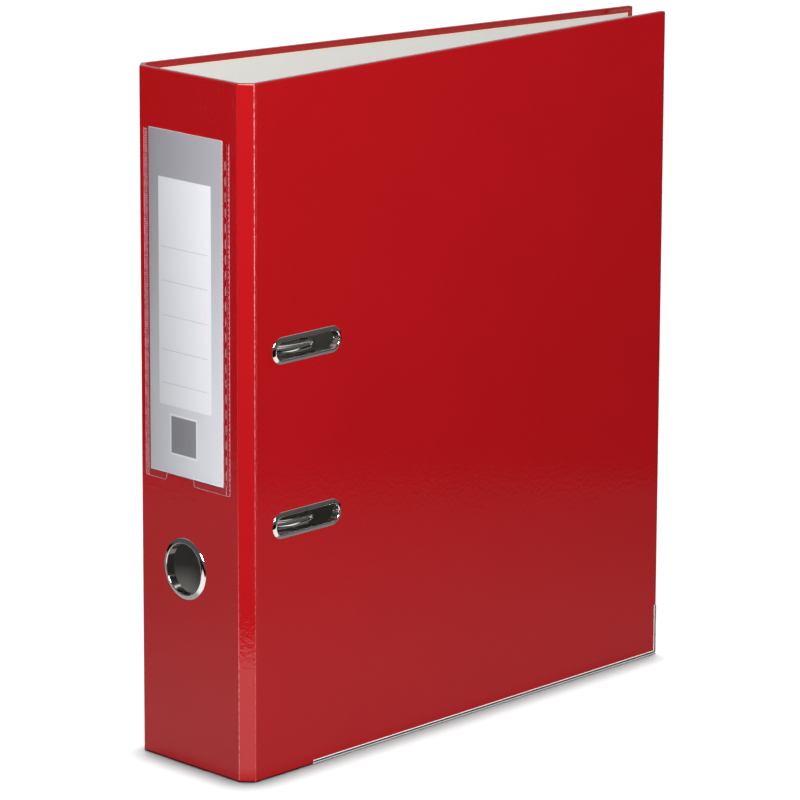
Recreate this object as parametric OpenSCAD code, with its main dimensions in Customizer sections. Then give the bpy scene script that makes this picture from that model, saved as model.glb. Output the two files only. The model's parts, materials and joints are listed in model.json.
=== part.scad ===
// Lever arch file for A4 paper, standing upright with its covers closed.
// +Z is up. The spine faces -Y, the front cover is on +X and the back cover on -X.
// The origin is on the floor, under the middle of the closed file.
// Each panel of the case has a frame of its own: u runs along the panel from its first
// crease, n runs inwards from its outer face, and z is the height above the floor.

/* [Case] */
// Height of the case
case_h = 318; // [312:1:324]
// Depth of each cover, from its crease to the fore edge
cover_d = 285; // [280:1:290]
// Width of the spine between its two creases
spine_w = 66; // [64:1:70]
// Width of each hinge strip, between the spine and a cover
hinge_w = 7.6; // [7:0.1:9]
// Angle between the spine and each hinge strip, in degrees
hinge_turn = 45; // [40:1:50]
// Lean of each closed cover towards the other, in degrees
taper = 5.3; // [5:0.1:5.6]
// Thickness of the grey board
board_t = 2; // [1.8:0.1:2.2]
// Thickness of the printed paper that wraps the board
wrap_t = 0.25; // [0.2:0.05:0.3]
// Thickness of the paper that lines the inside
lining_t = 0.25; // [0.2:0.05:0.3]
// Width of wrap that shows inside, around the lining
turn_in = 3; // [2:0.5:5]
// Gap between two panels at a crease
crease_gap = 0.3; // [0.3:0.1:0.6]

/* [Finger ring] */
// Distance of the ring's centre from the spine's back crease
ring_u = 29.5; // [28:0.5:36]
// Height of the ring's centre
ring_z = 92; // [80:1:100]
// Radius of the hole through the ring
ring_bore_r = 11.8; // [11:0.1:12]
// Radius of the ring's flange
ring_flange_r = 14.3; // [14:0.1:15]
// How far the ring stands proud of the spine
ring_proud = 1; // [0.8:0.1:1.2]

/* [Label] */
// Width of the label card
label_w = 49.8; // [48:0.1:50]
// Height of the label card
label_h = 156.8; // [150:0.2:158]
// Distance of the card's edge from the spine's back crease
label_u = 6.5; // [6:0.1:8]
// Height of the card's lower edge
label_z = 134.6; // [130:0.1:136]
// Thickness of the card
label_t = 0.3; // [0.2:0.05:0.3]
// Thickness of the clear film
film_t = 0.2; // [0.15:0.05:0.25]

/* [Cover slots] */
// Distance of the slots' middle from the front cover's crease
slot_u = 33.8; // [33:0.1:35]
// Height of the lower slot's middle
slot_z = 116; // [115:0.5:117]
// Length of the slot inside its rim
slot_l = 40.8; // [40:0.1:42]
// Height of the slot inside its rim
slot_h = 8; // [7.8:0.1:9]
// Width of the rim's flange around the slot
slot_flange = 2.25; // [2:0.05:2.5]
// How far the rim stands proud of the cover
slot_proud = 0.85; // [0.6:0.05:1]

/* [Edge guards] */
// Distance of the guard's start from the cover's crease
guard_u = 38; // [30:1:60]
// Height that the guard reaches up the fore edge
guard_rise = 25; // [15:1:40]
// Height of the guard's two legs
guard_leg = 2; // [1.5:0.1:3]
// Thickness of the guard's sheet
guard_t = 0.3; // [0.2:0.05:0.35]

/* [Mechanism] */
// Distance between the two arches, which is the distance between punched holes
arch_pitch = 80; // [80]
// Radius of the arch wire and of the posts
wire_r = 2.25; // [2:0.05:2.25]
// Radius of the arches, to the middle of the wire
arch_r = 21.5; // [21:0.1:21.5]
// Distance of the arches' middle from the back cover's crease
arch_u = 33.5; // [33:0.1:34]
// Distance of the arches' centre from the back cover's outer face
arch_n = 46.3; // [45:0.1:46.3]
// How far the arches lie below the middle of the slots
arch_drop = 1.3; // [1:0.1:1.4]
// Thickness of the base plate
plate_t = 1; // [0.8:0.1:1.2]
// Length of the base plate
plate_l = 116; // [114:1:120]
// Radius of the lever's pin
pin_r = 1.5; // [1.5]

/* [Hidden] */
$fn = 64;

past = 1;                                   // how far a cut runs past a face
fit = 0.05;                                 // radial room between pieces that are pressed together
running = 0.08;                             // radial room of a shaft that turns or slides
case_t = wrap_t + board_t + lining_t;       // whole thickness of a panel
cover_turn = 90 + taper - hinge_turn;       // angle between a hinge strip and its cover

// The creases, in plan. The ring and the fore edges are the ends of the file's depth.
case_depth = hinge_w * sin(hinge_turn) + cover_d * cos(taper);
spine_y = (ring_proud - case_depth) / 2;
crease_x = spine_w / 2 + hinge_w * cos(hinge_turn);
crease_y = spine_y + hinge_w * sin(hinge_turn);

// Finger ring
ring_tube_r = ring_bore_r + 0.5;
ring_hole_r = ring_tube_r + fit;
ring_depth = case_t + 0.7;

// Label pocket, measured from the spine's back crease
pocket_u0 = 2.8;
pocket_u1 = 61;
pocket_weld = 1.8;
pocket_foot_z = label_z - 3.6;
pocket_top_z = label_z + label_h - 0.4;
pocket_notch_u0 = 17.4;
pocket_notch_u1 = 36;
pocket_clear = 0.1;                         // room in front of and behind the card
pocket_proud = label_t + 2 * pocket_clear + film_t;

// Slots and their rims
upper_slot_z = slot_z + arch_pitch;
slot_wall = 0.45;
slot_hole_l = slot_l + 2 * (slot_wall + fit);
slot_hole_h = slot_h + 2 * (slot_wall + fit);
slot_washer_t = 0.6;

// Mechanism, in the back cover's frame
mech_z = slot_z + arch_pitch / 2 - arch_drop;
lower_arch_z = mech_z - arch_pitch / 2;
upper_arch_z = mech_z + arch_pitch / 2;
plate_n = case_t + plate_t;                 // top of the base plate
plate_u0 = 5;
plate_u1 = 61;
plate_corner = 6;
shaft_u = arch_u - arch_r;
shaft_n = plate_n + 5;
post_u = arch_u + arch_r;
post_gap = 0.3;                             // between a post's end and its arch's end
post_n = arch_n - post_gap;
post_collar_r = 4;
post_collar_t = 1.4;
point_r = 1.6;                              // the cone that centres the arch on its post
point_h = 1.6;
bend_r = 5;                                 // where an arch turns into the shaft
rivet_r = 2;
rivet_head_r = 4.2;
rivet_u = [12, 46];
rivet_z = [-52, 52];
bearing_z = [-31, 31];
bearing_w = 5;
bearing_wall = 1.4;
crank_throw = 8;
crank_z = [16, 11];                         // half lengths of the crank, at its foot and its top

// Lever
lever_z = mech_z - 28.7;
lever_n = plate_n + 9.5;
lever_u0 = 18.5;
lever_w = 10;
lever_sheet = 1.2;
lever_l = 70;
ear_gap = 0.4;                              // between the lever and each ear
ear_t = 1.2;
grip_r = 4;

// Compressor bar
bar_n = plate_n + post_collar_t + 0.4;
bar_t = 1.4;
bar_l = 104;
bar_u0 = 46;
bar_u1 = 64;
bar_lip = 4;

red = "#A8181F";
bright_metal = "#D5D7DA";

// ---- Frames of the panels ----

module on_spine() {
    translate([-spine_w / 2, spine_y, 0]) children();
}

module on_front_hinge() {
    translate([spine_w / 2, spine_y, 0]) rotate([0, 0, hinge_turn]) children();
}

module on_front() {
    translate([crease_x, crease_y, 0]) rotate([0, 0, 90 + taper]) children();
}

module on_back_hinge() {
    mirror([1, 0, 0]) on_front_hinge() children();
}

module on_back() {
    mirror([1, 0, 0]) on_front() children();
}

// A feature whose own +Z points out of the panel's outer face, at (u, z).
module facing_out(u, z) {
    translate([u, 0, z]) rotate([90, 0, 0]) children();
}

// A flat shape drawn in n and z, made solid along u.
module along_u(u0, length) {
    translate([u0, 0, 0]) rotate([90, 0, 90]) linear_extrude(length) children();
}

// A round bar from one depth to another, at (u, z).
module along_n(r, n0, n1, u, z, r_end = undef) {
    translate([u, n0, z]) rotate([-90, 0, 0])
        cylinder(h = n1 - n0, r1 = r, r2 = r_end == undef ? r : r_end);
}

// ---- Panels ----

// How far a layer at depth n stops short of a crease that turns by this angle.
// An edge with no turn is free.
function setback(n, turn) = turn == 0 ? 0 : n * tan(turn / 2) + crease_gap / 2;

// One layer of a panel, with its two ends mitred for the creases.
module layer(length, n0, n1, turn0, turn1, z0, z1) {
    translate([0, 0, z0]) linear_extrude(z1 - z0) polygon([
        [setback(n0, turn0), n0],
        [length - setback(n0, turn1), n0],
        [length - setback(n1, turn1), n1],
        [setback(n1, turn0), n1]
    ]);
}

module panel_board(length, turn0, turn1) {
    free = turn1 == 0 ? wrap_t : 0;
    layer(length - free, wrap_t, wrap_t + board_t, turn0, turn1, wrap_t, case_h - wrap_t);
}

module panel_lining(length, turn0, turn1) {
    free = turn1 == 0 ? turn_in : 0;
    layer(length - free, wrap_t + board_t, case_t, turn0, turn1, turn_in, case_h - turn_in);
}

// The wrap covers the outer face, the head and foot and a free edge, and shows around the lining.
module panel_wrap(length, turn0, turn1) {
    board_end = turn1 == 0 ? length - wrap_t : length + past;
    lining_end = turn1 == 0 ? length - turn_in : length + past;
    difference() {
        layer(length, 0, case_t, turn0, turn1, 0, case_h);
        translate([-past, wrap_t, wrap_t])
            cube([board_end + past, board_t, case_h - 2 * wrap_t]);
        translate([-past, wrap_t + board_t - 0.001, turn_in])
            cube([lining_end + past, lining_t + past, case_h - 2 * turn_in]);
    }
}

// ---- Spine ----

module ring_hole() {
    facing_out(ring_u, ring_z) translate([0, 0, -case_t - past])
        cylinder(h = case_t + 2 * past, r = ring_hole_r);
}

module spine_board() {
    color("#8C877E") on_spine() difference() {
        panel_board(spine_w, hinge_turn, hinge_turn);
        ring_hole();
    }
}

module spine_wrap() {
    color(red) on_spine() difference() {
        panel_wrap(spine_w, hinge_turn, hinge_turn);
        ring_hole();
    }
}

module spine_lining() {
    color("#D5D5CF") on_spine() difference() {
        panel_lining(spine_w, hinge_turn, hinge_turn);
        ring_hole();
    }
}

// A drawn ring: a tube through the spine with a sloping flange and a raised lip.
module finger_ring() {
    lip_r = ring_bore_r + 0.4;
    color(bright_metal) on_spine() facing_out(ring_u, ring_z) rotate_extrude() polygon([
        [ring_bore_r, -ring_depth],
        [ring_tube_r, -ring_depth],
        [ring_tube_r, 0],
        [ring_flange_r, 0],
        [ring_flange_r, 0.2],
        [lip_r + 0.4, ring_proud - 0.25],
        [lip_r, ring_proud],
        [ring_bore_r, ring_proud - 0.2]
    ]);
}

module finger_ring_washer() {
    color(bright_metal) on_spine() facing_out(ring_u, ring_z) rotate_extrude()
        translate([ring_hole_r, -ring_depth]) square([2.2, ring_depth - case_t]);
}

// Clear film that is welded to the spine along its sides and its two feet.
module label_pocket() {
    u_in = pocket_u1 - pocket_u0;
    color([0.9, 0.9, 0.92, 0.35]) on_spine() difference() {
        translate([pocket_u0, -pocket_proud, pocket_foot_z])
            cube([u_in, pocket_proud, pocket_top_z - pocket_foot_z]);
        translate([pocket_u0 + pocket_weld, -pocket_proud + film_t, label_z])
            cube([u_in - 2 * pocket_weld, pocket_proud, label_h + past]);
        translate([pocket_notch_u0, -pocket_proud - past, pocket_foot_z - past])
            cube([pocket_notch_u1 - pocket_notch_u0, pocket_proud + 2 * past,
                  label_z - pocket_foot_z + past]);
    }
}

module label_card() {
    color("#BFC1C4") on_spine()
        translate([label_u, -label_t - pocket_clear, label_z + pocket_clear])
            cube([label_w, label_t, label_h - pocket_clear]);
}

// ---- Hinge strips ----

module front_hinge_board() {
    color("#8C877E") on_front_hinge() panel_board(hinge_w, hinge_turn, cover_turn);
}

module front_hinge_wrap() {
    color(red) on_front_hinge() panel_wrap(hinge_w, hinge_turn, cover_turn);
}

module front_hinge_lining() {
    color("#D5D5CF") on_front_hinge() panel_lining(hinge_w, hinge_turn, cover_turn);
}

module back_hinge_board() {
    color("#8C877E") on_back_hinge() panel_board(hinge_w, hinge_turn, cover_turn);
}

module back_hinge_wrap() {
    color(red) on_back_hinge() panel_wrap(hinge_w, hinge_turn, cover_turn);
}

module back_hinge_lining() {
    color("#D5D5CF") on_back_hinge() panel_lining(hinge_w, hinge_turn, cover_turn);
}

// ---- Covers ----

// Where the edge guard lies under the foot and outside the fore edge.
module guard_seat() {
    translate([guard_u, -past, -past])
        cube([cover_d, case_t + 2 * past, past + guard_t]);
    translate([cover_d - guard_t, -past, -past])
        cube([past + guard_t, case_t + 2 * past, past + guard_rise]);
}

// A folded strip along the foot of a cover that turns up its fore edge.
module edge_guard() {
    wide = case_t + 2 * guard_t;
    difference() {
        union() {
            translate([guard_u, -guard_t, 0]) cube([cover_d - guard_u, wide, guard_leg]);
            translate([cover_d - guard_leg, -guard_t, 0]) cube([guard_leg, wide, guard_rise]);
        }
        translate([guard_u - past, 0, guard_t])
            cube([cover_d - guard_t - guard_u + past, case_t, guard_rise + past]);
    }
}

// A prism with round ends, from one height to another.
module stadium(length, wide, h0, h1) {
    translate([0, 0, h0]) linear_extrude(h1 - h0) {
        square([length - wide, wide], center = true);
        for (s = [-1, 1]) translate([s * (length - wide) / 2, 0]) circle(d = wide);
    }
}

module slot_holes() {
    for (z = [slot_z, upper_slot_z]) facing_out(slot_u, z)
        stadium(slot_hole_l, slot_hole_h, -case_t - past, past);
}

module front_board() {
    color("#8C877E") on_front() difference() {
        panel_board(cover_d, cover_turn, 0);
        slot_holes();
        guard_seat();
    }
}

module front_wrap() {
    color(red) on_front() difference() {
        panel_wrap(cover_d, cover_turn, 0);
        slot_holes();
        guard_seat();
    }
}

module front_lining() {
    color("#D5D5CF") on_front() difference() {
        panel_lining(cover_d, cover_turn, 0);
        slot_holes();
    }
}

module front_edge_guard() {
    color(bright_metal) on_front() edge_guard();
}

// A rim profile, drawn from the slot's middle line outwards, carried round the slot.
module around_slot() {
    half = (slot_l - slot_h) / 2;
    for (s = [0, 180]) rotate([0, 0, s]) {
        translate([half, 0, 0]) rotate([0, 0, -90]) rotate_extrude(angle = 180) children();
        translate([-half, 0, 0]) rotate([90, 0, 90]) linear_extrude(2 * half) children();
    }
}

module slot_rim(z) {
    inner = slot_h / 2;
    outer = inner + slot_flange;
    color(bright_metal) on_front() facing_out(slot_u, z) around_slot() polygon([
        [inner, -case_t - slot_washer_t],
        [inner + slot_wall, -case_t - slot_washer_t],
        [inner + slot_wall, 0],
        [outer, 0],
        [outer - 0.1, 0.4 * slot_proud],
        [outer - 0.55, 0.85 * slot_proud],
        [inner + slot_flange / 2, slot_proud],
        [inner + 0.3, 0.75 * slot_proud],
        [inner, 0.3 * slot_proud]
    ]);
}

module slot_washer(z) {
    color(bright_metal) on_front() facing_out(slot_u, z) around_slot()
        translate([slot_h / 2 + slot_wall + fit, -case_t - slot_washer_t])
            square([slot_flange - slot_wall, slot_washer_t]);
}

module upper_slot_rim() {
    slot_rim(upper_slot_z);
}

module lower_slot_rim() {
    slot_rim(slot_z);
}

module upper_slot_washer() {
    slot_washer(upper_slot_z);
}

module lower_slot_washer() {
    slot_washer(slot_z);
}

module rivet_places() {
    for (u = rivet_u, z = rivet_z) translate([u, 0, mech_z + z]) children();
}

module rivet_holes() {
    rivet_places() along_n(rivet_r + fit, -past, plate_n + past, 0, 0);
}

module back_board() {
    color("#8C877E") on_back() difference() {
        panel_board(cover_d, cover_turn, 0);
        rivet_holes();
        guard_seat();
    }
}

module back_wrap() {
    color(red) on_back() difference() {
        panel_wrap(cover_d, cover_turn, 0);
        rivet_holes();
        guard_seat();
    }
}

module back_lining() {
    color("#D5D5CF") on_back() difference() {
        panel_lining(cover_d, cover_turn, 0);
        rivet_holes();
    }
}

module back_edge_guard() {
    color(bright_metal) on_back() edge_guard();
}

// ---- Mechanism on the back cover ----

module base_plate() {
    inset = 2 * plate_corner;
    color(bright_metal) on_back() difference() {
        translate([(plate_u0 + plate_u1) / 2, plate_n, mech_z]) rotate([90, 0, 0])
            linear_extrude(plate_t) {
                square([plate_u1 - plate_u0 - inset, plate_l], center = true);
                square([plate_u1 - plate_u0, plate_l - inset], center = true);
                for (u = [-1, 1], z = [-1, 1])
                    translate([u * ((plate_u1 - plate_u0) / 2 - plate_corner),
                               z * (plate_l / 2 - plate_corner)]) circle(r = plate_corner);
            }
        rivet_holes();
    }
}

// Hollow rivets with a domed head on the back cover and a rolled end on the base plate.
module rivets() {
    color(bright_metal) on_back() rivet_places() rotate([90, 0, 0]) rotate_extrude() polygon([
        [0.9, -plate_n - 0.7],
        [rivet_r + 0.9, -plate_n - 0.5],
        [rivet_r + 0.9, -plate_n],
        [rivet_r, -plate_n],
        [rivet_r, 0],
        [rivet_head_r, 0],
        [rivet_head_r - 0.3, 0.35],
        [rivet_head_r - 1.4, 0.75],
        [0, 0.9],
        [0, 0.2],
        [0.9, 0]
    ]);
}

module post(z) {
    color(bright_metal) on_back() {
        along_n(post_collar_r, plate_n, plate_n + post_collar_t, post_u, z);
        along_n(wire_r, plate_n, post_n, post_u, z);
        along_n(point_r, post_n, post_n + point_h, post_u, z, 0.3);
    }
}

module upper_post() {
    post(upper_arch_z);
}

module lower_post() {
    post(lower_arch_z);
}

module shaft_bearings() {
    r_out = wire_r + bearing_wall;
    color("#B9BBBE") on_back() for (z = bearing_z) translate([shaft_u, 0, mech_z + z])
        difference() {
            translate([0, 0, -bearing_w / 2]) linear_extrude(bearing_w) {
                translate([0, shaft_n]) circle(r = r_out);
                translate([-r_out, plate_n]) square([2 * r_out, shaft_n - plate_n]);
            }
            translate([0, shaft_n, -bearing_w / 2 - past])
                cylinder(h = bearing_w + 2 * past, r = wire_r + running);
        }
}

// One arch in the plane of a post: the bend at the shaft, the leg and the half circle.
// It stands on z = 0, and side is the direction from the arch to the shaft's middle.
module arch(side) {
    translate([shaft_u, shaft_n + bend_r, side * bend_r]) rotate([90, 0, 90])
        rotate_extrude(angle = 90, start = side > 0 ? 180 : 90)
            translate([bend_r, 0]) circle(r = wire_r);
    along_n(wire_r, shaft_n + bend_r, arch_n, shaft_u, 0);
    translate([arch_u, arch_n, 0]) rotate_extrude(angle = 180)
        translate([arch_r, 0]) circle(r = wire_r);
}

// A straight stretch of the shaft, in u and z from the middle of the mechanism.
module wire_run(from, to) {
    length = norm(to - from);
    turn = atan2(to[0] - from[0], to[1] - from[1]);
    translate([from[0], shaft_n, mech_z + from[1]]) {
        sphere(r = wire_r);
        rotate([0, turn, 0]) cylinder(h = length, r = wire_r);
    }
}

// Both arches and their cranked shaft are bent from one wire.
module arch_wire() {
    ends = arch_pitch / 2 - bend_r;
    crank_u = shaft_u + crank_throw;
    route = [
        [shaft_u, -ends], [shaft_u, -crank_z[0]], [crank_u, -crank_z[1]],
        [crank_u, crank_z[1]], [shaft_u, crank_z[0]], [shaft_u, ends]
    ];
    color(bright_metal) on_back() difference() {
        union() {
            for (i = [0 : len(route) - 2]) wire_run(route[i], route[i + 1]);
            translate([0, 0, lower_arch_z]) arch(1);
            translate([0, 0, upper_arch_z]) arch(-1);
        }
        for (z = [lower_arch_z, upper_arch_z])
            along_n(point_r + post_gap, arch_n - 0.01, arch_n + point_h, post_u, z, 0.5);
    }
}

// A folded bracket with two ears that hold the lever's pin.
module lever_bracket() {
    inside = lever_w + 2 * ear_gap;
    u0 = lever_u0 - ear_gap;
    color("#B9BBBE") on_back() difference() {
        union() {
            translate([u0 - ear_t, plate_n, lever_z - 6]) cube([inside + 2 * ear_t, ear_t, 12]);
            for (u = [u0 - ear_t, u0 + inside]) along_u(u, ear_t) {
                translate([plate_n, lever_z - 6]) square([lever_n - plate_n, 12]);
                translate([lever_n, lever_z]) circle(r = 6);
            }
        }
        translate([u0 - ear_t - past, lever_n, lever_z]) rotate([0, 90, 0])
            cylinder(h = inside + 2 * (ear_t + past), r = pin_r + fit);
    }
}

module lever_pin() {
    reach = ear_gap + ear_t + 0.6;
    color(bright_metal) on_back() translate([lever_u0 - reach, lever_n, lever_z])
        rotate([0, 90, 0]) cylinder(h = lever_w + 2 * reach, r = pin_r);
}

// The lever is a folded channel: two flanges on the pin and a web that runs up to the grip.
module lever_arm() {
    web_n = lever_n + 3.2;
    root = 4.6;
    color("#D5D7DA") on_back() difference() {
        union() {
            translate([lever_u0, web_n, lever_z - root])
                cube([lever_w, lever_sheet, lever_l + root]);
            for (u = [lever_u0, lever_u0 + lever_w - lever_sheet]) along_u(u, lever_sheet)
                polygon([
                    [lever_n - root, lever_z - root],
                    [web_n, lever_z - root],
                    [web_n, lever_z + lever_l],
                    [web_n - 1.5, lever_z + lever_l],
                    [lever_n - 1.6, lever_z + 10],
                    [lever_n - root, lever_z + 7]
                ]);
        }
        translate([lever_u0 - past, lever_n, lever_z]) rotate([0, 90, 0])
            cylinder(h = lever_w + 2 * past, r = pin_r + running);
    }
}

// A round finger grip across the lever's end, with a flat where it sits on the channel.
module lever_grip() {
    color("#2B2B2D") on_back() difference() {
        translate([lever_u0 - 1, lever_n + 3.8, lever_z + lever_l + grip_r - 0.8])
            rotate([0, 90, 0]) cylinder(h = lever_w + 2, r = grip_r);
        translate([lever_u0 - 2, lever_n - grip_r, lever_z + lever_l - past])
            cube([lever_w + 4, 3 * grip_r, past + 0.01]);
    }
}

// A flat bar that slides on the posts and holds the paper down, with a lip along its edge.
module compressor_bar() {
    color("#C9CBCE") on_back() difference() {
        union() {
            translate([bar_u0, bar_n, mech_z - bar_l / 2]) cube([bar_u1 - bar_u0, bar_t, bar_l]);
            translate([bar_u1 - bar_t, bar_n, mech_z - bar_l / 2]) cube([bar_t, bar_lip, bar_l]);
        }
        for (z = [lower_arch_z, upper_arch_z])
            along_n(wire_r + running, bar_n - past, bar_n + bar_t + past, post_u, z);
    }
}

spine_board();
spine_wrap();
spine_lining();
finger_ring();
finger_ring_washer();
label_pocket();
label_card();
front_hinge_board();
front_hinge_wrap();
front_hinge_lining();
front_board();
front_wrap();
front_lining();
front_edge_guard();
upper_slot_rim();
lower_slot_rim();
upper_slot_washer();
lower_slot_washer();
back_hinge_board();
back_hinge_wrap();
back_hinge_lining();
back_board();
back_wrap();
back_lining();
back_edge_guard();
base_plate();
rivets();
upper_post();
lower_post();
shaft_bearings();
lever_bracket();
lever_pin();
arch_wire();
lever_arm();
lever_grip();
compressor_bar();
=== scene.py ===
"""Lever arch file for A4 paper: the wrapped case, its fittings, its label and the studio around it."""

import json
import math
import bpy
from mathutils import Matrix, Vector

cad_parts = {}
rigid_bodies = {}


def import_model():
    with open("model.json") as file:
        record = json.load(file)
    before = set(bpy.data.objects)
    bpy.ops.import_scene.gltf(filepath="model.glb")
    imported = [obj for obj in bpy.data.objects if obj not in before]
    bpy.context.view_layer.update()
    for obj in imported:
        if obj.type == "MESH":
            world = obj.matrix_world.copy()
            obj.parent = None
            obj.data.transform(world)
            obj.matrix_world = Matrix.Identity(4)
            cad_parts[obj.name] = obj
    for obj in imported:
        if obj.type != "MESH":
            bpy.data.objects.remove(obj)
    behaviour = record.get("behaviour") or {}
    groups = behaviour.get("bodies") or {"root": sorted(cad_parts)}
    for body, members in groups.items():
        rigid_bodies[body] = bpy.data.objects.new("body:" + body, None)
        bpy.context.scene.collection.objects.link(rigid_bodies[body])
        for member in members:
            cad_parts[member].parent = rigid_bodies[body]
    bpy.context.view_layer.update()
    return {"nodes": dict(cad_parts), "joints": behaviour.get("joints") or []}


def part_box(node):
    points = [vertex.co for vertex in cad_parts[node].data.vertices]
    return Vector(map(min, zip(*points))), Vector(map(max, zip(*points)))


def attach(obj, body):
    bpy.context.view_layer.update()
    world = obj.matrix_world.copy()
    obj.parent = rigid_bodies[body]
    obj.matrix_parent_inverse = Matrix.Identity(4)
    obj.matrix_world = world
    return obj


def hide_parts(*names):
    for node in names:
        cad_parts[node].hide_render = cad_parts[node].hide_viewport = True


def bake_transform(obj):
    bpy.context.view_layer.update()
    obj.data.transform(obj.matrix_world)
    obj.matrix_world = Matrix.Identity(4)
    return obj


bl_info = {
    "name": "Lever arch file",
    "version": (1, 0, 0),
    "blender": (4, 5, 0),
    "location": "View3D > Sidebar > Lever arch file",
    "description": "Builds a creased and wrapped A4 lever arch file around its packed frame",
    "category": "Add Mesh",
}

import bmesh
import bpy
from mathutils import Quaternion, Vector

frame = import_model()

MM = 0.001


# ---- What the frame says about the case, in metres ----

def joint_place(name):
    """Where a joint of the frame stands, in plan."""
    joint = next(j for j in frame["joints"] if j["name"] == name)
    return Vector(joint["pos_m"][:2])


def plan_direction(degrees):
    """A unit direction in plan, turned from +X towards +Y."""
    angle = math.radians(degrees)
    return Vector((math.cos(angle), math.sin(angle)))


def left_of(direction):
    """The direction a quarter turn to the left, which is inwards all round the front half of the case."""
    return Vector((-direction.y, direction.x))


SPINE_CREASE = joint_place("front_hinge_fold")
COVER_CREASE = joint_place("front_cover_fold")
HINGE_TURN = 45.0
COVER_TURN = 50.3
SPINE_ALONG = plan_direction(0)
BAND_ALONG = plan_direction(HINGE_TURN)
COVER_ALONG = plan_direction(HINGE_TURN + COVER_TURN)
BAND_WIDTH = (COVER_CREASE - SPINE_CREASE).length
CASE_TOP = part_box("spine_wrap")[1].z
CASE_THICKNESS = 2.5 * MM
SPINE_SEAM = 20 * MM     # where the two halves of the spine's wrap meet, beside the ring and under the label


class Panel:
    """A flat panel: u runs along it from its crease, n inwards from its outer face and z is the height."""

    def __init__(self, start, along, inward):
        self.start = start
        self.along = along
        self.inward = inward

    def at(self, u, n, z):
        """A point on the panel, in the row frame."""
        plan = self.start + self.along * u + self.inward * n
        return Vector((plan.x, plan.y, z))

    def u_of(self, point):
        """How far along the panel a point lies."""
        return (Vector((point.x, point.y)) - self.start).dot(self.along)


def mirrored(v):
    """A plan vector on the other side of the case."""
    return Vector((-v.x, v.y))


FRONT = Panel(COVER_CREASE, COVER_ALONG, left_of(COVER_ALONG))
BACK = Panel(mirrored(COVER_CREASE), mirrored(COVER_ALONG), mirrored(left_of(COVER_ALONG)))
SPINE = Panel(mirrored(SPINE_CREASE), SPINE_ALONG, left_of(SPINE_ALONG))


def linear(hex_colour):
    """Linear RGB from an sRGB hex colour."""
    channels = [int(hex_colour[i:i + 2], 16) / 255 for i in (1, 3, 5)]
    return tuple(c / 12.92 if c <= 0.04045 else ((c + 0.055) / 1.055) ** 2.4 for c in channels)


def length_property(name, description, millimetres):
    """A length that a user may change, with its default in millimetres."""
    return bpy.props.FloatProperty(name=name, description=description, default=millimetres * MM,
                                   min=0, unit="LENGTH", subtype="DISTANCE", precision=5)


def colour_property(name, description, hex_colour):
    """A colour that a user may change."""
    return bpy.props.FloatVectorProperty(name=name, description=description, default=linear(hex_colour),
                                         size=3, min=0, max=1, subtype="COLOR")


class FileSizes(bpy.types.PropertyGroup):
    """Sizes of the visible pieces."""

    cover_depth: length_property("Cover depth", "From a cover's crease to its fore edge", 284.7)
    foot: length_property("Foot", "Height of the wrap's foot above the floor", 0.12)
    wrap_thickness: length_property("Wrap thickness", "Thickness of the laminated paper", 0.2)
    turn_in: length_property("Turn-in", "Width of wrap that shows inside, around the lining", 3.0)
    edge_radius: length_property("Edge radius", "Rounding of the wrapped board's outer edges", 0.65)
    corner_radius: length_property("Corner radius", "Rounding of the covers' fore corners", 1.5)
    crease_radius: length_property("Crease radius", "Outer rounding of a crease", 0.8)
    spine_ridge: length_property("Spine ridge", "Height of the fold line beside the spine", 0.01)
    cover_ridge: length_property("Cover ridge", "Height of the fold line beside a cover", 0.09)
    ring_proud: length_property("Ring height", "How far the finger ring stands proud", 1.0)
    slot_proud: length_property("Rim height", "How far the slot rims stand proud", 0.85)


class FileColours(bpy.types.PropertyGroup):
    """Colours of the finishes."""

    red: colour_property("Red wrap", "Printed red under the gloss film", "#AB1419")
    # Pale crease colour: partly wear on the fold, partly a painted highlight of the fold catching the light.
    wear_and_highlight: colour_property("Worn crease", "Red that has turned pale on the fold", "#F3B7B0")
    lining: colour_property("Lining", "Light grey lining paper", "#B8B7B3")
    # Cream of the lining's cut edge, brightened as a painted highlight of the lit edge.
    lining_edge_highlight: colour_property("Lining edge", "Cut edge of the lining paper", "#DDAF88")
    board: colour_property("Board", "Grey board", "#8C877E")
    chrome: colour_property("Chrome", "Nickel-chrome plate", "#DAD7D2")
    steel: colour_property("Steel", "Nickel-plated steel", "#C9CACB")
    frame_dark: colour_property("Label frame, head", "Grey frame of the label at its head", "#AEACB1")
    frame_light: colour_property("Label frame, foot", "Grey frame of the label at its foot", "#E0E2E6")
    panel: colour_property("Label panel", "White writing panel of the label", "#EEEFF2")
    grip: colour_property("Grip", "Black plastic of the lever's grip", "#17171A")


class StudioSettings(bpy.types.PropertyGroup):
    """Camera and light."""

    lens: bpy.props.FloatProperty(name="Lens", description="Focal length in millimetres", default=227.6,
                                  min=20)
    key_power: bpy.props.FloatProperty(name="Key light", default=53, min=0, unit="POWER",
                                       description="Power of the soft box beside the camera")
    back_power: bpy.props.FloatProperty(name="Back lights", default=44, min=0, unit="POWER",
                                        description="Power of each soft box behind the file")


def sizes():
    """The sizes in this scene."""
    return bpy.context.scene.file_sizes


def colours():
    """The colours in this scene."""
    return bpy.context.scene.file_colours


# ---- Materials ----

def add_node(tree, kind, inputs=None, **settings):
    """Adds a shader node with its settings, gives its inputs values or links, and returns its outputs."""
    made = tree.nodes.new("ShaderNode" + kind)
    for name, value in settings.items():
        setattr(made, name, value)
    for key, value in (inputs or {}).items():
        socket = made.inputs[key]
        if isinstance(value, bpy.types.NodeSocket):
            tree.links.new(value, socket)
        elif socket.type == "RGBA":
            socket.default_value = (*value[:3], 1.0)
        else:
            socket.default_value = value
    return made.outputs


def surface(tree, shader):
    """Puts a shader on the material's output."""
    add_node(tree, "OutputMaterial", {"Surface": shader})


def principled(tree, inputs):
    """The principled shader on the material's output."""
    surface(tree, add_node(tree, "BsdfPrincipled", inputs)["BSDF"])


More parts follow.
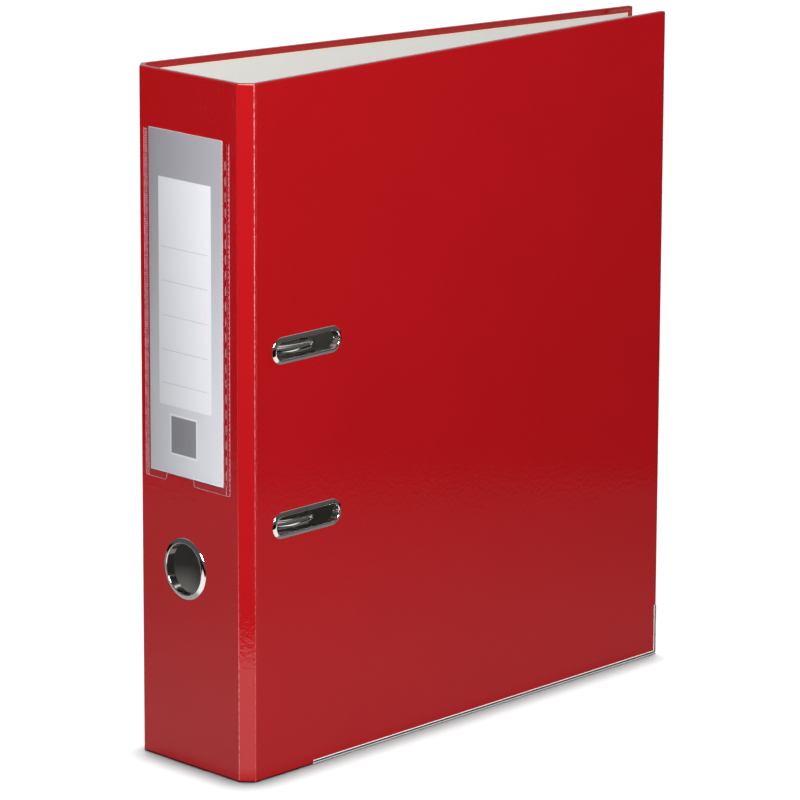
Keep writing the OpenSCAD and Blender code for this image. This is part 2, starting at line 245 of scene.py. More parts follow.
def mixed(tree, share, first, second):
    """A mix of two shaders, with this share of the second."""
    return add_node(tree, "MixShader", {0: share, 1: first, 2: second})["Shader"]


def noise(tree, vector, size_mm, detail=2.0, roughness=0.5):
    """Noise whose features are about this many millimetres wide."""
    return add_node(tree, "TexNoise", {"Vector": vector, "Scale": 1 / (size_mm * MM), "Detail": detail,
                                       "Roughness": roughness})["Fac"]


def remap(tree, value, low, high, new_low=0.0, new_high=1.0):
    """A value carried smoothly from one range to another, and held at its ends."""
    return add_node(tree, "MapRange", {"Value": value, "From Min": low, "From Max": high, "To Min": new_low,
                                       "To Max": new_high}, interpolation_type="SMOOTHSTEP")["Result"]


def math_node(tree, operation, first, second=0.0):
    """One arithmetic step."""
    return add_node(tree, "Math", {0: first, 1: second}, operation=operation)["Value"]


def blend_colour(tree, factor, first, second):
    """A mix of two colours, each a socket or a linear colour."""
    return add_node(tree, "Mix", {0: factor, 6: first, 7: second}, data_type="RGBA")[2]


def bump(tree, height, depth_mm, under=None):
    """Relief of about this depth from a height between 0 and 1, over the relief under it."""
    inputs = {"Height": height, "Distance": depth_mm * MM, "Strength": 1.0}
    if under is not None:
        inputs["Normal"] = under
    return add_node(tree, "Bump", inputs)["Normal"]


def band_mask(tree, value, low, high, soft=0.08):
    """1 between two places in millimetres, with soft ends."""
    up = remap(tree, value, (low - soft) * MM, (low + soft) * MM)
    down = remap(tree, value, (high - soft) * MM, (high + soft) * MM, 1.0, 0.0)
    return math_node(tree, "MULTIPLY", up, down)


def object_place(tree):
    """Place on the object, in metres."""
    return add_node(tree, "TexCoord")["Object"]


def sheet_place(tree):
    """Place on the flat sheet before it was folded, in metres: across the case, and up it."""
    return add_node(tree, "UVMap", uv_map="sheet")["UV"]


def stretched_place(tree, place, scale):
    """A place whose axes are scaled, so that a pattern on it is drawn out."""
    return add_node(tree, "Mapping", {"Vector": place, "Scale": scale})["Vector"]


def laminated_red_paper(tree):
    """Gloss-laminated printed paper: deep even red under a clear film, which has a faint orange peel and
    turns pale along its folds, partly from wear and partly as a painted highlight. Its head and foot edges
    and its turn-in are painted darker, as painted shade."""
    place = sheet_place(tree)
    parts = add_node(tree, "SeparateXYZ", {"Vector": place})
    across = math_node(tree, "ABSOLUTE", parts["X"])
    height = parts["Y"]
    red = Vector(colours().red)
    print_tone = blend_colour(tree, noise(tree, place, 45, 3), red * 0.95, red * 1.04)
    wander = remap(tree, noise(tree, place, 3.0, 3), 0.3, 0.7, -0.05 * MM, 0.05 * MM)
    spine_line = SPINE_CREASE.x
    cover_line = SPINE_CREASE.x + BAND_WIDTH
    wandering = math_node(tree, "ADD", across, wander)
    # Each fold's line, half its width, and the heights and the shares between which its pale line grows: wear
    # on the fold, and a painted highlight that strengthens along it as a highlight would.
    wear_and_highlight_lines = ((cover_line, 0.1, 40, 330, 0.15, 0.8), (spine_line, 0.12, 150, 20, 0.0, 0.35))
    masks = []
    for line, half, low, high, least, most in wear_and_highlight_lines:
        off = math_node(tree, "ABSOLUTE", math_node(tree, "SUBTRACT", wandering, line))
        near = remap(tree, off, half * MM, (half + 0.2) * MM, 1.0, 0.0)
        fade = remap(tree, height, low * MM, high * MM, least, most)
        broken = remap(tree, noise(tree, place, 2.2, 3, 0.7), 0.35, 0.62, 0.15, 1.0)
        masks.append(math_node(tree, "MULTIPLY", math_node(tree, "MULTIPLY", near, fade), broken))
    wear_and_highlight = math_node(tree, "MAXIMUM", *masks)
    # Painted shade: from the head's rounding over the top edge the red is painted darkest, and from just
    # inside the head, round the turn-in and the foot, a little lighter but still dark.
    edge = remap(tree, height, CASE_TOP - 0.6 * MM, CASE_TOP)
    inside = remap(tree, height, CASE_TOP + 1.0 * MM, CASE_TOP + 2.6 * MM)
    edge_and_turn_in_shade = blend_colour(tree, inside, red * 0.36, red * 0.6)
    print_with_painted_shade = blend_colour(tree, edge, print_tone, edge_and_turn_in_shade)
    # The pale fold colour goes on last: wear, with a painted highlight along the fold.
    colour = blend_colour(tree, wear_and_highlight, print_with_painted_shade, colours().wear_and_highlight)
    # The film's peel, the pull marks along the hinge strips and the paper's fibre, one over another.
    peel = bump(tree, noise(tree, place, 2.2, 2, 0.55), 0.09)
    marks = noise(tree, stretched_place(tree, place, (1.0, 0.02, 1.0)), 0.9, 3, 0.6)
    on_band = band_mask(tree, across, spine_line / MM + 0.4, cover_line / MM - 0.4, 0.3)
    pulled = bump(tree, math_node(tree, "MULTIPLY", marks, on_band), 0.03, peel)
    relief = bump(tree, noise(tree, place, 0.9, 2, 0.6), 0.004, pulled)
    gloss = remap(tree, noise(tree, place, 14, 3), 0.3, 0.7, 0.06, 0.10)
    principled(tree, {"Base Color": colour, "Roughness": gloss, "IOR": 1.5, "Normal": relief})


def raw_grey_board(tree):
    """Grey board: matt, with darker and lighter fibres pressed into it."""
    place = object_place(tree)
    grey = Vector(colours().board)
    colour = blend_colour(tree, noise(tree, place, 0.8, 4, 0.7), grey * 0.7, grey * 1.25)
    principled(tree, {"Base Color": colour, "Roughness": 0.9, "Specular IOR Level": 0.2,
                      "Normal": bump(tree, noise(tree, place, 0.4, 3), 0.03)})


def grey_lining_paper(tree):
    """Uncoated lining paper: matt light grey with a faint fibre, and a cream line at its cut edge, partly the
    paper's edge and partly a painted highlight where that edge catches the light.
    """
    place = sheet_place(tree)
    parts = add_node(tree, "SeparateXYZ", {"Vector": place})
    turn = sizes().turn_in
    middle = CASE_TOP / 2
    from_middle = math_node(tree, "ABSOLUTE", math_node(tree, "SUBTRACT", parts["Y"], middle))
    reach = middle - turn
    head_edge = remap(tree, from_middle, reach - 0.35 * MM, reach - 0.15 * MM)
    across = math_node(tree, "ABSOLUTE", parts["X"])
    fore = SPINE_CREASE.x + BAND_WIDTH + sizes().cover_depth - turn
    fore_edge = remap(tree, across, fore - 0.35 * MM, fore - 0.15 * MM)
    edge = math_node(tree, "MAXIMUM", head_edge, fore_edge)
    grey = Vector(colours().lining)
    cloudy = noise(tree, place, 26, 4, 0.6)
    paper = blend_colour(tree, cloudy, grey * 0.95, grey * 1.03)
    fibre = noise(tree, place, 0.7, 4, 0.7)
    speckled = blend_colour(tree, remap(tree, fibre, 0.35, 0.75), paper, grey * 0.93)
    # The cut edge's line: the paper's cream edge, painted bright as a highlight.
    colour = blend_colour(tree, math_node(tree, "MULTIPLY", edge, 0.85), speckled, colours().lining_edge_highlight)
    principled(tree, {"Base Color": colour, "Roughness": 0.88, "Specular IOR Level": 0.25,
                      "Normal": bump(tree, fibre, 0.02)})


def polished_metal(tree, colour, roughness, scratch):
    """Plated metal with a fine haze of handling marks, whose roughness varies a little over the surface."""
    place = object_place(tree)
    marks = noise(tree, stretched_place(tree, place, (1.0, 1.0, 6.0)), 0.5, 3, 0.6)
    cloud = noise(tree, place, 5, 2)
    tone = blend_colour(tree, cloud, Vector(colour) * 0.94, Vector(colour) * 1.02)
    dull = remap(tree, cloud, 0.3, 0.7, roughness * 0.8, roughness * 1.3)
    principled(tree, {"Base Color": tone, "Metallic": 1.0, "Roughness": dull,
                      "Normal": bump(tree, marks, scratch)})


def nickel_chrome(tree):
    """Drawn and polished nickel-chrome plate: a mirror with a slightly warm tone."""
    polished_metal(tree, colours().chrome, 0.07, 0.001)


def bright_strip_steel(tree):
    """Bright rolled strip: a soft mirror, duller than the chrome."""
    polished_metal(tree, colours().steel, 0.16, 0.002)


def zinc_plated_strip(tree):
    """Zinc-plated strip: a pale and slightly cloudy metal that stays light at its thin edges."""
    place = object_place(tree)
    cloud = noise(tree, place, 1.5, 3, 0.6)
    tone = blend_colour(tree, cloud, (0.82, 0.79, 0.78), (0.93, 0.91, 0.90))
    dull = remap(tree, cloud, 0.3, 0.7, 0.25, 0.4)
    principled(tree, {"Base Color": tone, "Metallic": 0.2, "Roughness": dull})


def painted_dark_reflection_groove(tree):
    """Groove pressed in the steel strip's front leg, painted a dark dull line: a painted dark reflection and
    shade, where the flat leg mirrors dark surroundings.
    """
    cloud = noise(tree, object_place(tree), 2.5, 3, 0.6)
    tone = blend_colour(tree, cloud, (0.012, 0.010, 0.011), (0.06, 0.05, 0.055))
    principled(tree, {"Base Color": tone, "Metallic": 0.6, "Roughness": 0.4})


def pressed_nickel_steel(tree):
    """Nickel-plated pressed steel: satin, with the drawing marks of the press."""
    polished_metal(tree, colours().steel, 0.27, 0.004)


def clear_pocket_film(tree):
    """Clear film: seen through almost fully, with a sharp gloss that grows at a glancing angle."""
    ripple = bump(tree, noise(tree, object_place(tree), 9, 2), 0.05)
    gloss = add_node(tree, "BsdfGlossy", {"Color": (1, 1, 1), "Roughness": 0.07, "Normal": ripple})["BSDF"]
    clear = add_node(tree, "BsdfTransparent", {"Color": (0.985, 0.985, 0.99)})["BSDF"]
    rim = add_node(tree, "Fresnel", {"IOR": 1.45, "Normal": ripple})["Fac"]
    ahead = math_node(tree, "SUBTRACT", 1.0, add_node(tree, "NewGeometry")["Backfacing"])
    surface(tree, mixed(tree, math_node(tree, "MULTIPLY", rim, ahead), clear, gloss))


def welded_film(tree):
    """Film pressed by a knurled welding tool: frosted on its ribs, where the red shows through pale pink."""
    frost = {"Base Color": (0.80, 0.36, 0.42), "Roughness": 0.25, "IOR": 1.45}
    milky = add_node(tree, "BsdfPrincipled", frost)["BSDF"]
    clear = add_node(tree, "BsdfTransparent", {"Color": (0.96, 0.93, 0.94)})["BSDF"]
    share = remap(tree, noise(tree, object_place(tree), 4, 3, 0.7), 0.3, 0.7, 0.3, 0.62)
    surface(tree, mixed(tree, share, clear, milky))


def printed_label_card(tree):
    """Smooth white card printed in grey: a frame that grows lighter towards the foot, a writing panel with
    thin rules, and a plain square field below it."""
    place = object_place(tree)
    parts = add_node(tree, "SeparateXYZ", {"Vector": place})
    u = math_node(tree, "SUBTRACT", parts["X"], SPINE.start.x)
    z = parts["Z"]
    tone = remap(tree, z, 285 * MM, 140 * MM)
    frame_grey = blend_colour(tree, tone, colours().frame_dark, colours().frame_light)
    grain = noise(tree, place, 0.6, 3)
    printed = blend_colour(tree, remap(tree, grain, 0.3, 0.8, 0.0, 0.12), frame_grey, (0.30, 0.30, 0.31))
    fields = [math_node(tree, "MULTIPLY", band_mask(tree, u, *wide), band_mask(tree, z, *tall))
              for wide, tall in (((13, 48.7), (166.2, 270)), ((20, 39), (143.7, 162.6)),
                                 ((21, 38), (144.7, 161.6)))]
    rules = 0.0
    for rule_z in (238.5, 223, 207.3, 191.5, 176.3):
        rules = math_node(tree, "ADD", rules, band_mask(tree, z, rule_z - 0.16, rule_z + 0.16, 0.1))
    rules = math_node(tree, "MULTIPLY", rules, band_mask(tree, u, 15, 46.5))
    card_middle = (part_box("label_card")[0].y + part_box("label_card")[1].y) / 2
    back = remap(tree, parts["Y"], card_middle, card_middle + 0.05 * MM)
    # The panel, its rules, the square's pale border, the square and the plain back, laid one over another.
    colour = printed
    for share, ink in ((fields[0], colours().panel),
                       (math_node(tree, "MULTIPLY", rules, 0.5), linear("#A9ABB0")),
                       (fields[1], linear("#EDEEF0")),
                       (fields[2], linear("#8E8D91")),
                       (back, colours().panel)):
        colour = blend_colour(tree, share, colour, ink)
    principled(tree, {"Base Color": colour, "Roughness": 0.45, "IOR": 1.45,
                      "Normal": bump(tree, grain, 0.004)})


def black_moulded_plastic(tree):
    """Moulded ABS: black with a fine spark-eroded texture."""
    place = object_place(tree)
    grain = noise(tree, place, 0.35, 3)
    black = Vector(colours().grip)
    colour = blend_colour(tree, noise(tree, place, 4, 2), black * 0.85, black * 1.3)
    principled(tree, {"Base Color": colour, "Roughness": 0.42, "IOR": 1.46,
                      "Normal": bump(tree, grain, 0.02)})


def material_of(maker):
    """The material that a maker's nodes describe, made once and named after the maker."""
    material = bpy.data.materials.get(maker.__name__)
    if material is None:
        material = bpy.data.materials.new(maker.__name__)
        material.use_nodes = True
        material.node_tree.nodes.clear()
        maker(material.node_tree)
    return material


def finish_with(obj, *makers):
    """Gives an object these materials only, each by its maker."""
    obj.data.materials.clear()
    for maker in makers:
        obj.data.materials.append(material_of(maker))


# ---- Mesh building ----

SHARP_ANGLE = math.radians(38)


def new_object(name, points, faces, sheet=None):
    """A mesh object from points and faces. sheet holds a flat place for each corner of each face."""
    mesh = bpy.data.meshes.new(name)
    mesh.from_pydata(points, [], faces)
    if sheet:
        layer = mesh.uv_layers.new(name="sheet")
        layer.data.foreach_set("uv", [c for corners in sheet for uv in corners for c in uv])
    obj = bpy.data.objects.new(name, mesh)
    bpy.context.scene.collection.objects.link(obj)
    return obj


def smooth(obj, angle=SHARP_ANGLE):
    """Smooth shading that stops at sharp edges."""
    mesh = obj.data
    mesh.polygons.foreach_set("use_smooth", [True] * len(mesh.polygons))
    mesh.set_sharp_from_angle(angle=angle)
    mesh.update()
    return obj


def swept(name, rows, across=None, up=None, closed_rows=False, flip=False):
    """A closed solid from rows of points, each row one loop of its cross-section. closed_rows joins the last
    row to the first; otherwise both ends are capped. across has a flat place for each row, and up has one
    for each point."""
    count = len(rows[0])
    points = [p for row in rows for p in row]
    faces, sheet = [], []
    pairs = len(rows) if closed_rows else len(rows) - 1
    for i in range(pairs):
        j = (i + 1) % len(rows)
        for k in range(count):
            m = (k + 1) % count
            face = [i * count + k, i * count + m, j * count + m, j * count + k]
            if across:
                top = up[k + 1]
                uvs = [(across[i], up[k]), (across[i], top), (across[j], top), (across[j], up[k])]
            else:
                uvs = [(0, 0)] * 4
            faces.append(face)
            sheet.append(uvs)
    if not closed_rows:
        for i in (0, len(rows) - 1):
            ring = list(range(i * count, (i + 1) * count))
            uvs = [(across[i], up[k]) for k in range(count)] if across else [(0, 0)] * count
            if i == 0:
                ring.reverse()
                uvs.reverse()
            faces.append(ring)
            sheet.append(uvs)
    if flip:
        faces = [list(reversed(f)) for f in faces]
        sheet = [list(reversed(s)) for s in sheet]
    return new_object(name, points, faces, sheet)


def applied(obj):
    """The object with its modifiers applied."""
    graph = bpy.context.evaluated_depsgraph_get()
    graph.update()
    mesh = bpy.data.meshes.new_from_object(obj.evaluated_get(graph), preserve_all_data_layers=True,
                                           depsgraph=graph)
    old = obj.data
    obj.modifiers.clear()
    obj.data = mesh
    bpy.data.meshes.remove(old)
    return obj


def drilled(obj, cutter):
    """The object with the cutter's shape taken out."""
    cut = obj.modifiers.new("hole", "BOOLEAN")
    cut.operation = "DIFFERENCE"
    cut.solver = "EXACT"
    cut.object = cutter
    applied(obj)
    if len(obj.data.polygons) < 12:
        raise RuntimeError(f"the hole in {obj.name} left nothing of it")
    bpy.data.objects.remove(cutter)
    return obj


def arc(centre, radius, start, end, steps):
    """Points of an arc from one angle to another, in degrees, in a plane."""
    out = []
    for i in range(steps + 1):
        angle = math.radians(start + (end - start) * i / steps)
        out.append((centre[0] + radius * math.cos(angle), centre[1] + radius * math.sin(angle)))
    return out


# ---- The case ----

CREASE_STEPS = 8
INNER_CREASE = 0.3 * MM      # radius of the lining's bend inside a crease
CREASE_REACH = 3.5 * MM      # past this distance a crease no longer shifts the inner line
NEAR_CREASE = [0.55 * MM, 0.75 * MM, 0.95 * MM, 1.3 * MM, 2.2 * MM]
SLOT_HALF = 16.4 * MM        # half the distance between the centres of a slot's round ends
SLOT_RADIUS = 4.0 * MM
RING_BORE = 11.8 * MM
HOLE_ROOM = 0.7 * MM         # the paper ends this far outside the bore of a fitting
CUTTER_DEPTHS = (-2 * MM, 6 * MM)
PAPER, UNDER_LINING, HOLE = 0, 1, 2     # material indices of a wrap in the making


class Station:
    """One place along the case in plan: the points on its outer and inner lines, and the flat distance."""

    def __init__(self, flat, outer, inner, u=None):
        self.flat = flat
        self.outer = outer
        self.inner = inner
        self.u = u

    def at(self, n, z, side):
        """The point at a depth and height, on the front (1) or back (-1) half."""
        plan = self.outer + (self.inner - self.outer) * (n / CASE_THICKNESS)
        return Vector((side * plan.x, plan.y, z))


def rotated(v, degrees):
    """A plan vector turned to the left."""
    angle = math.radians(degrees)
    cos, sin = math.cos(angle), math.sin(angle)
    return Vector((v.x * cos - v.y * sin, v.x * sin + v.y * cos))


def crease(corner, before, turn, flat, ridge):
    """Stations round one crease: a small outer bend with a fine ridge on it, and a cove on the inside."""
    radius = sizes().crease_radius
    half = math.radians(turn / 2)
    inward = left_of(before)
    middle = rotated(inward, turn / 2)
    outer_centre = corner + middle * (radius / math.cos(half))
    inner_centre = corner + middle * ((CASE_THICKNESS + INNER_CREASE) / math.cos(half))
    stations = []
    for i in range(CREASE_STEPS + 1):
        share = i / CREASE_STEPS
        normal = rotated(inward, turn * share)
        off = (share - 0.5) * radius * 2 * half
        lift = ridge * math.exp(-(off / (0.14 * MM)) ** 2)
        stations.append(Station(flat + off, outer_centre - normal * (radius + lift),
                                inner_centre - normal * INNER_CREASE))
    return stations


def flat_run(corner, along, turn, flat, distances, ridge, ahead):
    """Stations on the flat at these distances from a crease, after it (ahead 1) or before it (-1)."""
    inward = left_of(along)
    tangent = sizes().crease_radius * math.tan(math.radians(turn / 2))
    setback = (CASE_THICKNESS + INNER_CREASE) * math.tan(math.radians(turn / 2))
    stations = []
    for d in distances:
        share = min(1.0, (d - tangent) / (CREASE_REACH - tangent))
        inner_d = d if d >= CREASE_REACH else setback + (CREASE_REACH - setback) * share
        groove = 0.5 * ridge * math.exp(-((d - 0.75 * MM) / (0.28 * MM)) ** 2)
        outer = corner + along * (ahead * d) + inward * groove
        inner = corner + along * (ahead * inner_d) + inward * CASE_THICKNESS
        stations.append(Station(flat + ahead * d, outer, inner, ahead * d))
    return stations


def spine_stations(start):
    """From the seam in the spine, over its crease, to the middle of the band."""
    ridge = sizes().spine_ridge
    to_crease = SPINE_CREASE.x - start
    before = [to_crease, 6 * MM] + list(reversed(NEAR_CREASE))
    flat = SPINE_CREASE.x
    return (flat_run(SPINE_CREASE, SPINE_ALONG, HINGE_TURN, flat, before, ridge, -1)
            + crease(SPINE_CREASE, SPINE_ALONG, HINGE_TURN, flat, ridge)
            + flat_run(SPINE_CREASE, BAND_ALONG, HINGE_TURN, flat, NEAR_CREASE + [BAND_WIDTH / 2], ridge, 1))


def cover_stations(ends):
    """From the middle of the band, over the cover's crease, to these distances along the cover."""
    ridge = sizes().cover_ridge
    flat = SPINE_CREASE.x + BAND_WIDTH
    before = [BAND_WIDTH / 2] + list(reversed(NEAR_CREASE))
    after = NEAR_CREASE + [6 * MM, 12 * MM] + ends
    return (flat_run(COVER_CREASE, BAND_ALONG, COVER_TURN, flat, before, ridge, -1)
            + crease(COVER_CREASE, BAND_ALONG, COVER_TURN, flat, ridge)
            + flat_run(COVER_CREASE, COVER_ALONG, COVER_TURN, flat, after, ridge, 1))


def developed(loop, start):
    """How far round a loop each of its points lies, with one more for the way back to the first."""
    out = [start]
    for i in range(len(loop)):
        a, b = loop[i], loop[(i + 1) % len(loop)]
        out.append(out[-1] + math.hypot(b[0] - a[0], b[1] - a[1]))
    return out


def wrap_loop():
    """The wrapped board's cross-section in depth and height, and the index of its first point inside."""
    thick = CASE_THICKNESS - 0.08 * MM
    low, high = sizes().foot, CASE_TOP
    r, r_in, near, turn = sizes().edge_radius, 0.4 * MM, 0.25 * MM, sizes().turn_in
    loop = [(0, low + r), (0, low + r + near), (0, high - r - near)]
    loop += arc((r, high - r), r, 180, 90, 4)
    loop += arc((thick - r_in, high - r_in), r_in, 90, 0, 4)
    loop += [(thick, high - r_in - near)]
    window = len(loop)
    loop += [(thick, high - turn), (thick, low + turn), (thick, low + r_in + near)]
    loop += arc((thick - r_in, low + r_in), r_in, 0, -90, 4)
    loop += arc((r, low + r), r, 270, 180, 4)[:-1]
    return loop, window


def lining_loop():
    """The lining's cross-section in depth and height."""
    low, high = sizes().foot + sizes().turn_in, CASE_TOP - sizes().turn_in
    n0, n1, near = CASE_THICKNESS - 0.2 * MM, CASE_THICKNESS + 0.03 * MM, 0.2 * MM
    return [(n1, high - near), (n1 - 0.05 * MM, high), (n0, high), (n0, low), (n1 - 0.05 * MM, low),
            (n1, low + near)]


def fore_rows(stations, loop, side):
    """Rows of a cover's wrap, with the fore edge and its corners rounded."""
    end = sizes().cover_depth
    r, big = sizes().edge_radius, sizes().corner_radius
    thick = max(p[0] for p in loop)
    low, high = min(p[1] for p in loop), max(p[1] for p in loop)
    middle = (low + high) / 2
    rows = []
    for st in stations:
        past_r = max(0.0, (st.u or 0) - (end - r))
        past_big = max(0.0, (st.u or 0) - (end - big))
        in_n = r - math.sqrt(max(0.0, r * r - past_r * past_r))
        in_z = big - math.sqrt(max(0.0, big * big - past_big * past_big))
        scale_n, scale_z = 1 - 2 * in_n / thick, 1 - 2 * in_z / (high - low)
        rows.append([st.at(thick / 2 + (n - thick / 2) * scale_n, middle + (z - middle) * scale_z, side)
                     for n, z in loop])
    return rows


def slot_cutters():
    """Prisms that cut the two slots through the front cover."""
    out = []
    for node_name in ("upper_slot_rim", "lower_slot_rim"):
        u, z = fitting_place(node_name, FRONT)
        radius = SLOT_RADIUS + HOLE_ROOM
        outline = arc((u + SLOT_HALF, z), radius, -90, 90, 16) + arc((u - SLOT_HALF, z), radius, 90, 270, 16)
        out.append(swept("cutter", [[FRONT.at(a, n, b) for a, b in outline] for n in CUTTER_DEPTHS]))
    return out


def ring_cutters():
    """The cylinder that cuts the finger hole through the spine."""
    u, z = fitting_place("finger_ring", SPINE)
    outline = arc((u, z), RING_BORE + HOLE_ROOM, 0, 360, 96)[:-1]
    return [swept("cutter", [[SPINE.at(a, n, b) for a, b in outline] for n in CUTTER_DEPTHS])]


def outward(obj):
    """Makes the faces of a closed solid look outwards."""
    bm = bmesh.new()
    bm.from_mesh(obj.data)
    bmesh.ops.recalc_face_normals(bm, faces=bm.faces)
    bm.to_mesh(obj.data)
    bm.free()
    return obj


def fitting_place(node_name, panel):
    """Middle of a fitting on its panel: distance along it, and height."""
    low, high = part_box(node_name)
    middle = (low + high) / 2
    return panel.u_of(middle), middle.z


def wrap_piece(name, stations, side, cutters):
    """The laminated paper over part of the case, as a thin sheet that turns round the board's edges."""
    with_fore = stations[-1].u > BAND_WIDTH
    loop, window = wrap_loop()
    rows = fore_rows(stations, loop, side)
    up = developed(loop, loop[0][1])
    obj = swept(name, rows, [side * st.flat for st in stations], up, flip=side < 0)
    outward(obj)
    layers = (laminated_red_paper, raw_grey_board, grey_lining_paper)
    finish_with(obj, *layers)
    faces = obj.data.polygons
    last = sizes().cover_depth - sizes().turn_in + 0.01 * MM
    for i, station in enumerate(stations[1:]):
        if station.u is None or not with_fore or abs(station.u) <= last:
            faces[i * len(loop) + window].material_index = UNDER_LINING
    for index in range(-2, -1 if with_fore else 0):
        faces[index].material_index = UNDER_LINING
    for cutter in cutters:
        finish_with(cutter, *layers)
        outward(cutter)
        for face in cutter.data.polygons:
            face.material_index = HOLE
        drilled(obj, cutter)
    peel_away(obj)
    sheet = obj.modifiers.new("paper", "SOLIDIFY")
    sheet.thickness = sizes().wrap_thickness
    sheet.offset = -1
    sheet.use_even_offset = True
    applied(obj)
    finish_with(obj, laminated_red_paper)
    for face in obj.data.polygons:
        face.material_index = PAPER
    return smooth(obj)


def peel_away(obj):
    """Takes off the faces under the lining, in the seams and in the holes, so that only paper is left."""
    bm = bmesh.new()
    bm.from_mesh(obj.data)
    gone = [f for f in bm.faces if f.material_index != PAPER]
    bmesh.ops.delete(bm, geom=gone, context="FACES")
    bm.to_mesh(obj.data)
    bm.free()


def lining_piece(name, stations, side, cutters):
    """The lining paper over part of the inside."""
    loop = lining_loop()
    rows = [[st.at(n, z, side) for n, z in loop] for st in stations]
    up = [z for n, z in loop] + [loop[0][1]]
    obj = swept(name, rows, [side * st.flat for st in stations], up)
    outward(obj)
    for cutter in cutters:
        outward(cutter)
        drilled(obj, cutter)
    finish_with(obj, grey_lining_paper)
    return smooth(obj)


def fold_over(obj):
    """Bakes a piece's placement into its mesh."""
    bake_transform(obj)


def paper_the_case(layer, piece, ends):
    """Lays one layer of paper, "wrap" or "lining", on both halves of the case: a sheet over the crease of the
    spine and one over the cover's. piece makes a sheet, and ends are the last places of the cover's."""
    for side, word in ((1, "front"), (-1, "back")):
        ring = ring_cutters() if side < 0 else []
        spine = piece(f"{word}_spine_{layer}_paper", spine_stations(SPINE_SEAM * side), side, ring)
        fold_over(spine)
        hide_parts(f"spine_{layer}", f"{word}_hinge_{layer}")
        slots = slot_cutters() if side > 0 else []
        cover = piece(f"{word}_cover_{layer}_paper", cover_stations(ends), side, slots)
        fold_over(cover)
        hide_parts(f"{word}_{layer}", f"{word}_hinge_{layer}")


class CASE_OT_wrap(bpy.types.Operator):
    """Builds the red laminated paper of the spine, the bands and the covers"""

    bl_idname = "lever_file.wrap"
    bl_label = "Wrap the case"

    def execute(self, context):
        end = sizes().cover_depth
        fore_steps = [1.75, 1.5, 1.2, 0.9, 0.6, 0.42, 0.25, 0.12, 0.03, 0.0]
        ends = [end - sizes().turn_in] + [end - s * MM for s in fore_steps]
        paper_the_case("wrap", wrap_piece, ends)
        return {"FINISHED"}


class CASE_OT_lining(bpy.types.Operator):
    """Builds the grey lining paper on the inside of the spine, the bands and the covers"""

    bl_idname = "lever_file.lining"
    bl_label = "Line the case"

    def execute(self, context):
        end = sizes().cover_depth - sizes().turn_in
        paper_the_case("lining", lining_piece, [end - 0.2 * MM, end])
        return {"FINISHED"}


class CASE_OT_boards(bpy.types.Operator):
    """Finishes the grey boards inside the wrap"""

    bl_idname = "lever_file.boards"
    bl_label = "Finish the boards"

    def execute(self, context):
        for name, node in frame["nodes"].items():
            if name.endswith("_board"):
                finish_with(node, raw_grey_board)
        return {"FINISHED"}


# ---- Metal fittings ----

GUARD_LEG = 2.0 * MM         # how far the edge guard's channel reaches over the cover
GUARD_ENDS = (38 * MM, 285 * MM)


def fit(obj, maker, body, node_name):
    """Finishes a piece and hangs it on its body, in the place of the node that it stands for."""
    finish_with(obj, maker)
    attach(obj, body)
    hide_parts(node_name)


def rim_profile():
    """Cross-section of a slot's rim: distance out from the slot's middle line, and height."""
    top = sizes().slot_proud / (0.85 * MM)
    raw = [(4.0, -3.1), (4.0, -1.5), (4.0, 0.0), (4.03, 0.4), (4.12, 0.66), (4.3, 0.81), (4.52, 0.84),
           (4.85, 0.76), (5.25, 0.59), (5.65, 0.4), (5.95, 0.25), (6.12, 0.13), (6.2, 0.0), (5.7, 0.0),
           (4.5, 0.0), (4.45, -0.1), (4.45, -3.1)]
    return [(w * MM, h * MM * (top if h > 0 else 1)) for w, h in raw]


def slot_rim(name, node_name):
    """A drawn rim round a slot: a tube through the cover with a rolled flange."""
    u, z = fitting_place(node_name, FRONT)
    run = [SLOT_HALF * (1 - 2 * i / 10) for i in range(1, 10)]
    path = [(u + SLOT_HALF, z, a) for a in range(-90, 91, 6)]
    path += [(u + d, z, 90) for d in run]
    path += [(u - SLOT_HALF, z, a) for a in range(90, 271, 6)]
    path += [(u - d, z, 270) for d in run]
    rows = []
    for pu, pz, angle in path:
        out = plan_direction(angle)
        rows.append([FRONT.at(pu + out.x * w, -h, pz + out.y * w) for w, h in rim_profile()])
    return swept(name, rows, closed_rows=True)


class CASE_OT_slot_rims(bpy.types.Operator):
    """Builds the two chromed rims in the front cover and finishes their washers"""

    bl_idname = "lever_file.slot_rims"
    bl_label = "Slot rims"

    def execute(self, context):
        for word in ("upper", "lower"):
            rim = smooth(outward(slot_rim(f"{word}_rolled_rim", f"{word}_slot_rim")))
            fit(rim, nickel_chrome, "front_cover", f"{word}_slot_rim")
            washer = frame["nodes"][f"{word}_slot_washer"]
            finish_with(washer, nickel_chrome)
        return {"FINISHED"}


RING_PROFILE = [(11.8, -3.2), (11.8, -1.6), (11.8, 0.4), (11.84, 0.72), (11.95, 0.91), (12.13, 1.0),
                (12.33, 0.98), (12.5, 0.88), (12.68, 0.79), (13.1, 0.7), (13.55, 0.56), (13.92, 0.4),
                (14.18, 0.2), (14.28, 0.0), (13.4, 0.0), (12.4, 0.0), (12.3, -0.1), (12.3, -3.2)]
WASHER_PROFILE = [(12.36, -2.56), (14.35, -2.56), (14.5, -2.66), (14.55, -2.85), (14.45, -3.08),
                  (14.2, -3.2), (12.6, -3.2), (12.36, -3.1)]


def turned(name, profile, panel, u, z, steps=96):
    """A ring turned round an axis through a panel, from a profile of radius and height."""
    rows = []
    for i in range(steps):
        out = plan_direction(360 * i / steps)
        rows.append([panel.at(u + out.x * r * MM, -h * MM, z + out.y * r * MM) for r, h in profile])
    return smooth(outward(swept(name, rows, closed_rows=True)))


